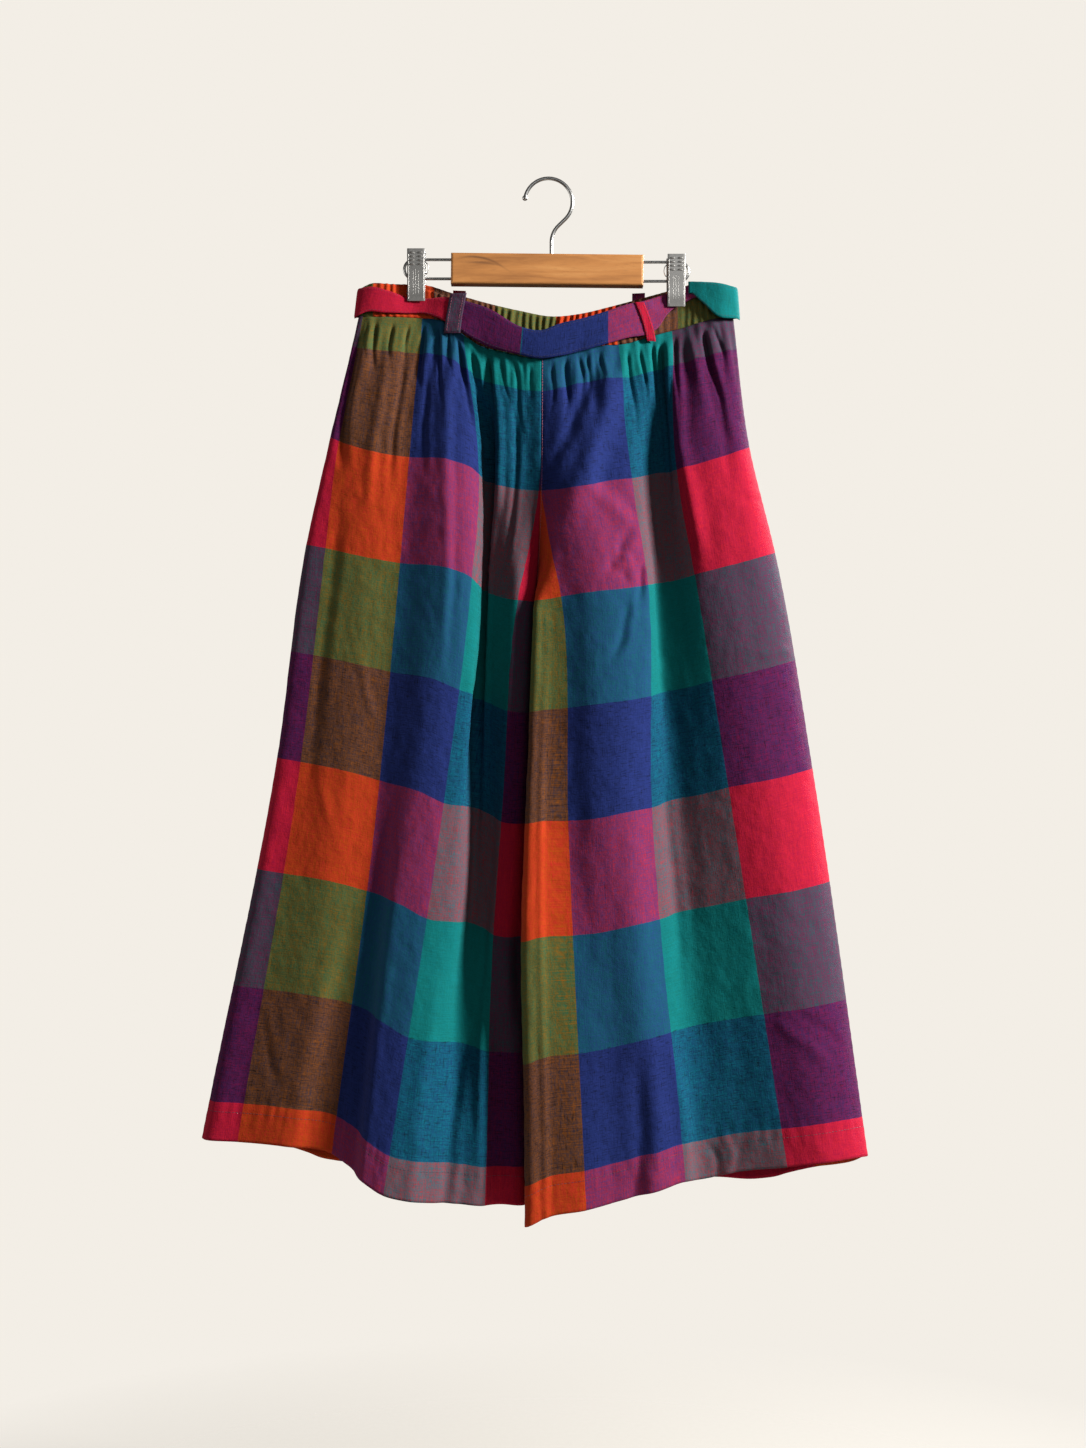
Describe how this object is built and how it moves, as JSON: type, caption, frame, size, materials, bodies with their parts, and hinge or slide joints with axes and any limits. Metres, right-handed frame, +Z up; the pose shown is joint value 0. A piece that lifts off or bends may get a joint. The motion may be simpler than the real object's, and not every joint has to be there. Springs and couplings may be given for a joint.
{
  "type": "wide-leg pants on a clip hanger",
  "caption": "Wide-leg linen pants in a multicolour check with a gathered elastic waist, loops and a sash belt, clipped to a wooden bar hanger.",
  "frame": {"origin": "inner crest of the hanger's hook, where it rests on a peg or rail", "axes": "+Z up, +X to the right as seen from the front of the pants, +Y from the front to the back"},
  "size_m": [0.7322, 0.0933, 1.145],
  "materials": {
    "linen_panel": "matte slubby linen in a multicolour check",
    "linen_waistband": "matte linen, ruched over elastic",
    "linen_belt": "matte linen, folded double",
    "linen_loop": "matte linen",
    "wood": "satin varnish, warm brown with darker grain",
    "steel": "bright plated wire and pressed steel"
  },
  "bodies": {
    "root": {"front_right": "linen_panel", "front_left": "linen_panel", "back_right": "linen_panel", "back_left": "linen_panel", "waistband_front": "linen_waistband", "waistband_back": "linen_waistband", "belt": "linen_belt", "loop_front_right": "linen_loop", "loop_front_left": "linen_loop", "loop_back_right": "linen_loop", "loop_back_left": "linen_loop", "hanger_bar": "wood", "hanger_hook": "steel", "rail_right": "steel", "rail_left": "steel", "clip_right_saddle": "steel", "clip_right_front_jaw": "steel", "clip_right_back_jaw": "steel", "clip_left_saddle": "steel", "clip_left_front_jaw": "steel", "clip_left_back_jaw": "steel"}
  },
  "joints": []
}
